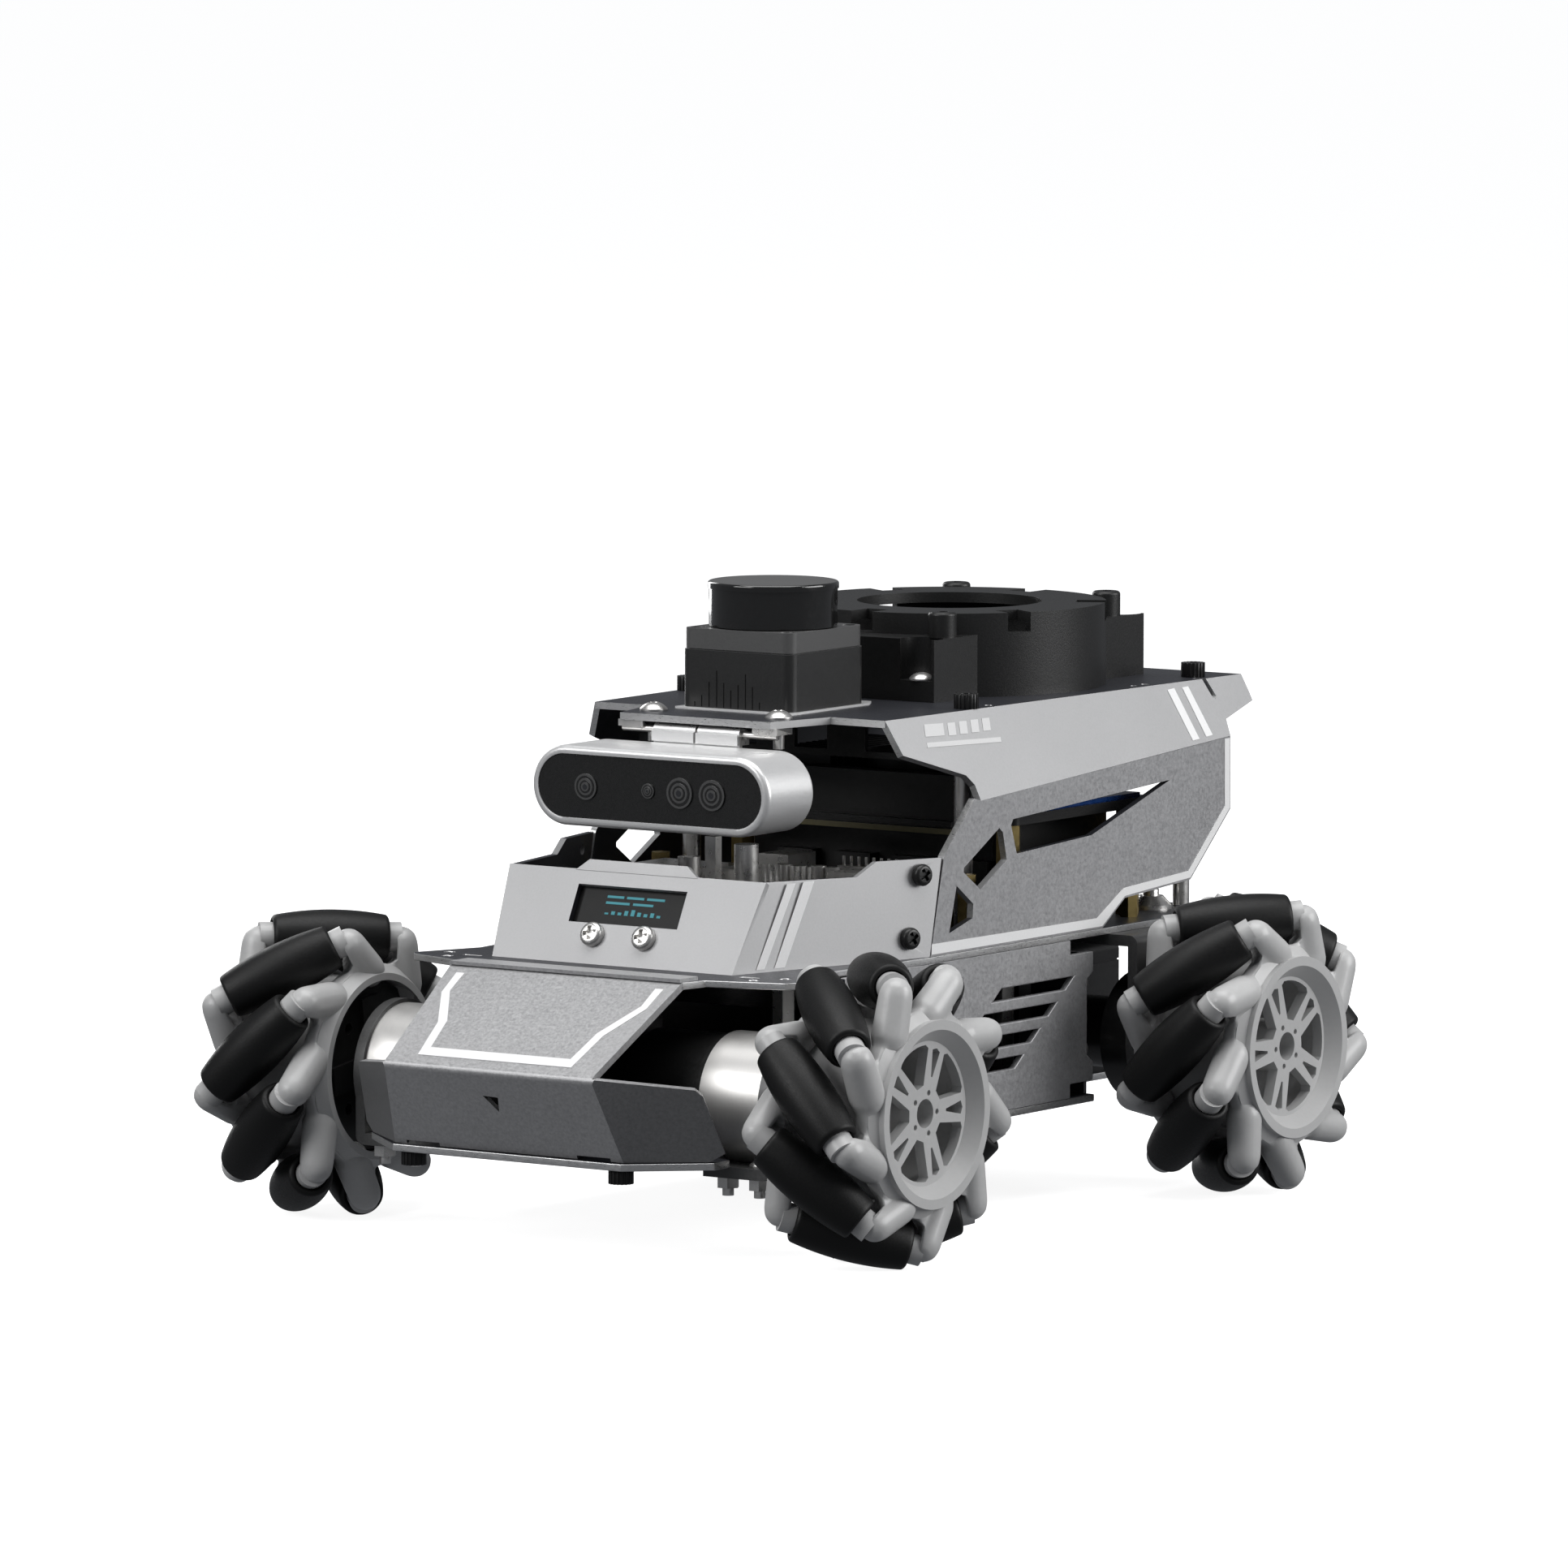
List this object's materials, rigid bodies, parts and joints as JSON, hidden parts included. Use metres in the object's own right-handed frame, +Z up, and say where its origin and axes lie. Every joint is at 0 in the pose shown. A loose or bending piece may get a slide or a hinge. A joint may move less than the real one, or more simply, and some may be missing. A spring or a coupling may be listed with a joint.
{
  "type": "mecanum wheel robot",
  "caption": "Desktop mecanum wheel robot with an aluminium chassis, depth camera, rotating scanner, display and rear accessory ring.",
  "frame": {"origin": "centre of the robot's footprint, on the ground under the wheels", "axes": "+X to the robot's left, -Y forwards past the display, +Z up"},
  "size_m": [0.2256, 0.2991, 0.1773],
  "materials": {
    "anodised_sheet": "fine-grained satin anodised",
    "anodised_plate": "dark slate satin anodised with bright cut edges",
    "dark_bracket": "satin black",
    "motor_steel": "bright turned",
    "bright_steel": "bright",
    "camera_aluminium": "bright satin",
    "black_plastic": "matte",
    "gloss_black": "glossy",
    "circuit_board": "black solder mask",
    "wheel_plastic": "light grey, slightly glossy",
    "roller_rubber": "matte"
  },
  "bodies": {
    "chassis": {"bottom_plate": "anodised_plate", "deck_plate": "anodised_plate", "front_hood": "anodised_sheet", "display_cabin": "anodised_sheet", "upper_cover": "anodised_sheet", "lower_side_panels": "anodised_sheet", "motor_brackets": "dark_bracket", "gear_motors": "motor_steel", "standoffs": "bright_steel", "scanner_body": "black_plastic", "camera_hinge": "bright_steel", "accessory_ring": "black_plastic", "computer_module": "black_plastic", "power_board": "black_plastic", "controller_board": "circuit_board", "battery_pack": "black_plastic", "fasteners": "bright_steel"},
    "wheel_fl": {"wheel_hub_fl": "wheel_plastic"},
    "wheel_fr": {"wheel_hub_fr": "wheel_plastic"},
    "wheel_rl": {"wheel_hub_rl": "wheel_plastic"},
    "wheel_rr": {"wheel_hub_rr": "wheel_plastic"},
    "camera": {"camera_shell": "camera_aluminium", "camera_window": "gloss_black"},
    "scanner": {"scanner_head": "gloss_black"},
    "roller_fl_1": {"roller_fl_1": "roller_rubber"},
    "roller_fl_2": {"roller_fl_2": "roller_rubber"},
    "roller_fl_3": {"roller_fl_3": "roller_rubber"},
    "roller_fl_4": {"roller_fl_4": "roller_rubber"},
    "roller_fl_5": {"roller_fl_5": "roller_rubber"},
    "roller_fl_6": {"roller_fl_6": "roller_rubber"},
    "roller_fl_7": {"roller_fl_7": "roller_rubber"},
    "roller_fl_8": {"roller_fl_8": "roller_rubber"},
    "roller_fl_9": {"roller_fl_9": "roller_rubber"},
    "roller_fr_1": {"roller_fr_1": "roller_rubber"},
    "roller_fr_2": {"roller_fr_2": "roller_rubber"},
    "roller_fr_3": {"roller_fr_3": "roller_rubber"},
    "roller_fr_4": {"roller_fr_4": "roller_rubber"},
    "roller_fr_5": {"roller_fr_5": "roller_rubber"},
    "roller_fr_6": {"roller_fr_6": "roller_rubber"},
    "roller_fr_7": {"roller_fr_7": "roller_rubber"},
    "roller_fr_8": {"roller_fr_8": "roller_rubber"},
    "roller_fr_9": {"roller_fr_9": "roller_rubber"},
    "roller_rl_1": {"roller_rl_1": "roller_rubber"},
    "roller_rl_2": {"roller_rl_2": "roller_rubber"},
    "roller_rl_3": {"roller_rl_3": "roller_rubber"},
    "roller_rl_4": {"roller_rl_4": "roller_rubber"},
    "roller_rl_5": {"roller_rl_5": "roller_rubber"},
    "roller_rl_6": {"roller_rl_6": "roller_rubber"},
    "roller_rl_7": {"roller_rl_7": "roller_rubber"},
    "roller_rl_8": {"roller_rl_8": "roller_rubber"},
    "roller_rl_9": {"roller_rl_9": "roller_rubber"},
    "roller_rr_1": {"roller_rr_1": "roller_rubber"},
    "roller_rr_2": {"roller_rr_2": "roller_rubber"},
    "roller_rr_3": {"roller_rr_3": "roller_rubber"},
    "roller_rr_4": {"roller_rr_4": "roller_rubber"},
    "roller_rr_5": {"roller_rr_5": "roller_rubber"},
    "roller_rr_6": {"roller_rr_6": "roller_rubber"},
    "roller_rr_7": {"roller_rr_7": "roller_rubber"},
    "roller_rr_8": {"roller_rr_8": "roller_rubber"},
    "roller_rr_9": {"roller_rr_9": "roller_rubber"}
  },
  "joints": [
    {"name": "spin_fl", "type": "hinge", "parent": "chassis", "child": "wheel_fl", "pos_m": [0.09326, -0.09665, 0.04285], "axis": [1, 0, 0], "continuous": true},
    {"name": "spin_fr", "type": "hinge", "parent": "chassis", "child": "wheel_fr", "pos_m": [-0.09326, -0.09665, 0.04285], "axis": [1, 0, 0], "continuous": true},
    {"name": "spin_rl", "type": "hinge", "parent": "chassis", "child": "wheel_rl", "pos_m": [0.09326, 0.08765, 0.04285], "axis": [1, 0, 0], "continuous": true},
    {"name": "spin_rr", "type": "hinge", "parent": "chassis", "child": "wheel_rr", "pos_m": [-0.09326, 0.08765, 0.04285], "axis": [1, 0, 0], "continuous": true},
    {"name": "camera_tilt", "type": "hinge", "parent": "chassis", "child": "camera", "pos_m": [0, -0.0475, 0.1372], "axis": [1, 0, 0], "range_deg": [-25, 15]},
    {"name": "scanner_spin", "type": "hinge", "parent": "chassis", "child": "scanner", "pos_m": [0, -0.0117, 0.1708], "axis": [0, 0, 1], "continuous": true},
    {"name": "turn_fl_1", "type": "hinge", "parent": "wheel_fl", "child": "roller_fl_1", "pos_m": [0.09326, -0.06193, 0.04798], "axis": [0.7071, -0.1033, 0.6995], "continuous": true},
    {"name": "turn_fl_2", "type": "hinge", "parent": "wheel_fl", "child": "roller_fl_2", "pos_m": [0.09326, -0.07335, 0.0691], "axis": [0.7071, -0.5288, 0.4695], "continuous": true},
    {"name": "turn_fl_3", "type": "hinge", "parent": "wheel_fl", "child": "roller_fl_3", "pos_m": [0.09326, -0.09567, 0.07794], "axis": [0.7071, -0.7068, 0.0197], "continuous": true},
    {"name": "turn_fl_4", "type": "hinge", "parent": "wheel_fl", "child": "roller_fl_4", "pos_m": [0.09326, -0.11845, 0.07036], "axis": [0.7071, -0.5542, -0.4392], "continuous": true},
    {"name": "turn_fl_5", "type": "hinge", "parent": "wheel_fl", "child": "roller_fl_5", "pos_m": [0.09326, -0.13103, 0.04991], "axis": [0.7071, -0.1422, -0.6927], "continuous": true},
    {"name": "turn_fl_6", "type": "hinge", "parent": "wheel_fl", "child": "roller_fl_6", "pos_m": [0.09326, -0.12753, 0.02616], "axis": [0.7071, 0.3363, -0.622], "continuous": true},
    {"name": "turn_fl_7", "type": "hinge", "parent": "wheel_fl", "child": "roller_fl_7", "pos_m": [0.09326, -0.10957, 0.01021], "axis": [0.7071, 0.6575, -0.2603], "continuous": true},
    {"name": "turn_fl_8", "type": "hinge", "parent": "wheel_fl", "child": "roller_fl_8", "pos_m": [0.09326, -0.08557, 0.00954], "axis": [0.7071, 0.671, 0.2232], "continuous": true},
    {"name": "turn_fl_9", "type": "hinge", "parent": "wheel_fl", "child": "roller_fl_9", "pos_m": [0.09326, -0.06675, 0.02446], "axis": [0.7071, 0.3705, 0.6023], "continuous": true},
    {"name": "turn_fr_1", "type": "hinge", "parent": "wheel_fr", "child": "roller_fr_1", "pos_m": [-0.09326, -0.06193, 0.04798], "axis": [-0.7071, -0.1033, 0.6995], "continuous": true},
    {"name": "turn_fr_2", "type": "hinge", "parent": "wheel_fr", "child": "roller_fr_2", "pos_m": [-0.09326, -0.07335, 0.0691], "axis": [-0.7071, -0.5288, 0.4695], "continuous": true},
    {"name": "turn_fr_3", "type": "hinge", "parent": "wheel_fr", "child": "roller_fr_3", "pos_m": [-0.09326, -0.09567, 0.07794], "axis": [-0.7071, -0.7068, 0.0197], "continuous": true},
    {"name": "turn_fr_4", "type": "hinge", "parent": "wheel_fr", "child": "roller_fr_4", "pos_m": [-0.09326, -0.11845, 0.07036], "axis": [-0.7071, -0.5542, -0.4392], "continuous": true},
    {"name": "turn_fr_5", "type": "hinge", "parent": "wheel_fr", "child": "roller_fr_5", "pos_m": [-0.09326, -0.13103, 0.04991], "axis": [-0.7071, -0.1422, -0.6927], "continuous": true},
    {"name": "turn_fr_6", "type": "hinge", "parent": "wheel_fr", "child": "roller_fr_6", "pos_m": [-0.09326, -0.12753, 0.02616], "axis": [-0.7071, 0.3363, -0.622], "continuous": true},
    {"name": "turn_fr_7", "type": "hinge", "parent": "wheel_fr", "child": "roller_fr_7", "pos_m": [-0.09326, -0.10957, 0.01021], "axis": [-0.7071, 0.6575, -0.2603], "continuous": true},
    {"name": "turn_fr_8", "type": "hinge", "parent": "wheel_fr", "child": "roller_fr_8", "pos_m": [-0.09326, -0.08557, 0.00954], "axis": [-0.7071, 0.671, 0.2232], "continuous": true},
    {"name": "turn_fr_9", "type": "hinge", "parent": "wheel_fr", "child": "roller_fr_9", "pos_m": [-0.09326, -0.06675, 0.02446], "axis": [-0.7071, 0.3705, 0.6023], "continuous": true},
    {"name": "turn_rl_1", "type": "hinge", "parent": "wheel_rl", "child": "roller_rl_1", "pos_m": [0.09326, 0.12116, 0.05329], "axis": [0.7071, 0.2103, -0.6751], "continuous": true},
    {"name": "turn_rl_2", "type": "hinge", "parent": "wheel_rl", "child": "roller_rl_2", "pos_m": [0.09326, 0.10661, 0.07239], "axis": [0.7071, 0.595, -0.382], "continuous": true},
    {"name": "turn_rl_3", "type": "hinge", "parent": "wheel_rl", "child": "roller_rl_3", "pos_m": [0.09326, 0.08319, 0.07767], "axis": [0.7071, 0.7014, 0.0898], "continuous": true},
    {"name": "turn_rl_4", "type": "hinge", "parent": "wheel_rl", "child": "roller_rl_4", "pos_m": [0.09326, 0.06185, 0.06665], "axis": [0.7071, 0.4795, 0.5197], "continuous": true},
    {"name": "turn_rl_5", "type": "hinge", "parent": "wheel_rl", "child": "roller_rl_5", "pos_m": [0.09326, 0.05259, 0.0445], "axis": [0.7071, 0.0333, 0.7063], "continuous": true},
    {"name": "turn_rl_6", "type": "hinge", "parent": "wheel_rl", "child": "roller_rl_6", "pos_m": [0.09326, 0.05973, 0.02158], "axis": [0.7071, -0.4285, 0.5625], "continuous": true},
    {"name": "turn_rl_7", "type": "hinge", "parent": "wheel_rl", "child": "roller_rl_7", "pos_m": [0.09326, 0.07993, 0.00861], "axis": [0.7071, -0.6898, 0.1555], "continuous": true},
    {"name": "turn_rl_8", "type": "hinge", "parent": "wheel_rl", "child": "roller_rl_8", "pos_m": [0.09326, 0.10375, 0.01166], "axis": [0.7071, -0.6283, -0.3243], "continuous": true},
    {"name": "turn_rl_9", "type": "hinge", "parent": "wheel_rl", "child": "roller_rl_9", "pos_m": [0.09326, 0.12003, 0.0293], "axis": [0.7071, -0.2729, -0.6523], "continuous": true},
    {"name": "turn_rr_1", "type": "hinge", "parent": "wheel_rr", "child": "roller_rr_1", "pos_m": [-0.09326, 0.12116, 0.05329], "axis": [-0.7071, 0.2103, -0.6751], "continuous": true},
    {"name": "turn_rr_2", "type": "hinge", "parent": "wheel_rr", "child": "roller_rr_2", "pos_m": [-0.09326, 0.10661, 0.07239], "axis": [-0.7071, 0.595, -0.382], "continuous": true},
    {"name": "turn_rr_3", "type": "hinge", "parent": "wheel_rr", "child": "roller_rr_3", "pos_m": [-0.09326, 0.08319, 0.07767], "axis": [-0.7071, 0.7014, 0.0898], "continuous": true},
    {"name": "turn_rr_4", "type": "hinge", "parent": "wheel_rr", "child": "roller_rr_4", "pos_m": [-0.09326, 0.06185, 0.06665], "axis": [-0.7071, 0.4795, 0.5197], "continuous": true},
    {"name": "turn_rr_5", "type": "hinge", "parent": "wheel_rr", "child": "roller_rr_5", "pos_m": [-0.09326, 0.05259, 0.0445], "axis": [-0.7071, 0.0333, 0.7063], "continuous": true},
    {"name": "turn_rr_6", "type": "hinge", "parent": "wheel_rr", "child": "roller_rr_6", "pos_m": [-0.09326, 0.05973, 0.02158], "axis": [-0.7071, -0.4285, 0.5625], "continuous": true},
    {"name": "turn_rr_7", "type": "hinge", "parent": "wheel_rr", "child": "roller_rr_7", "pos_m": [-0.09326, 0.07993, 0.00861], "axis": [-0.7071, -0.6898, 0.1555], "continuous": true},
    {"name": "turn_rr_8", "type": "hinge", "parent": "wheel_rr", "child": "roller_rr_8", "pos_m": [-0.09326, 0.10375, 0.01166], "axis": [-0.7071, -0.6283, -0.3243], "continuous": true},
    {"name": "turn_rr_9", "type": "hinge", "parent": "wheel_rr", "child": "roller_rr_9", "pos_m": [-0.09326, 0.12003, 0.0293], "axis": [-0.7071, -0.2729, -0.6523], "continuous": true}
  ]
}
